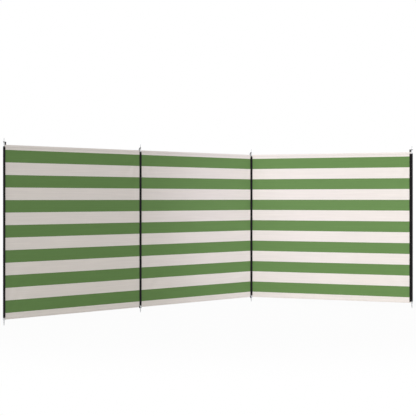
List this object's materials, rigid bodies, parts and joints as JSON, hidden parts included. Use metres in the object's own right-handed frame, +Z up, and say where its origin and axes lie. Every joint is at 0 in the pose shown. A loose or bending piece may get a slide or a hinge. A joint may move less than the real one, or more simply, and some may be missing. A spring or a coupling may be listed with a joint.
{
  "type": "beach windbreak",
  "caption": "Beach windbreak of green and off-white striped cloth bays on staked poles, with pole sleeves, tension loops and spikes; the end bays fold about their poles.",
  "frame": {"origin": "the blunt point of the ground spike under the corner pole", "axes": "+Z up, +X along the two bays that stand in line, from the first pole to the corner pole; -Y is the sheltered side that the last bay turns towards"},
  "size_m": [3.8718, 1.8001, 1.605],
  "materials": {
    "black_steel": "satin black coat",
    "black_nylon": "moulded",
    "zinc_steel": "zinc plated",
    "sleeve_fabric": "woven",
    "elastic_cord": "braided",
    "striped_cloth": "striped weave",
    "binding_tape": "woven tape"
  },
  "bodies": {
    "middle_bay": {"pole_tube_2": "black_steel", "end_bushes_2": "black_nylon", "top_pin_2": "zinc_steel", "ground_spike_2": "zinc_steel", "sleeve_2": "sleeve_fabric", "pole_tube_3": "black_steel", "end_bushes_3": "black_nylon", "top_pin_3": "zinc_steel", "ground_spike_3": "zinc_steel", "sleeve_3": "sleeve_fabric", "tension_loops_3": "elastic_cord", "cloth_panel_2": "striped_cloth", "edge_bindings_2": "binding_tape"},
    "first_bay": {"pole_tube_1": "black_steel", "end_bushes_1": "black_nylon", "top_pin_1": "zinc_steel", "ground_spike_1": "zinc_steel", "sleeve_1": "sleeve_fabric", "tension_loops_1": "black_nylon", "tension_loops_2": "elastic_cord", "cloth_panel_1": "striped_cloth", "edge_bindings_1": "binding_tape"},
    "last_bay": {"pole_tube_4": "black_steel", "end_bushes_4": "black_nylon", "top_pin_4": "zinc_steel", "ground_spike_4": "zinc_steel", "sleeve_4": "sleeve_fabric", "tension_loops_4": "black_nylon", "cloth_panel_3": "striped_cloth", "edge_bindings_3": "binding_tape"}
  },
  "joints": [
    {"name": "first_bay_fold", "type": "hinge", "parent": "middle_bay", "child": "first_bay", "pos_m": [-1.8, 0, 0], "axis": [0, 0, 1], "range_deg": [-90, 90]},
    {"name": "last_bay_fold", "type": "hinge", "parent": "middle_bay", "child": "last_bay", "pos_m": [0, 0, 0], "axis": [0, 0, -1], "range_deg": [-171.9, 8.1]}
  ]
}
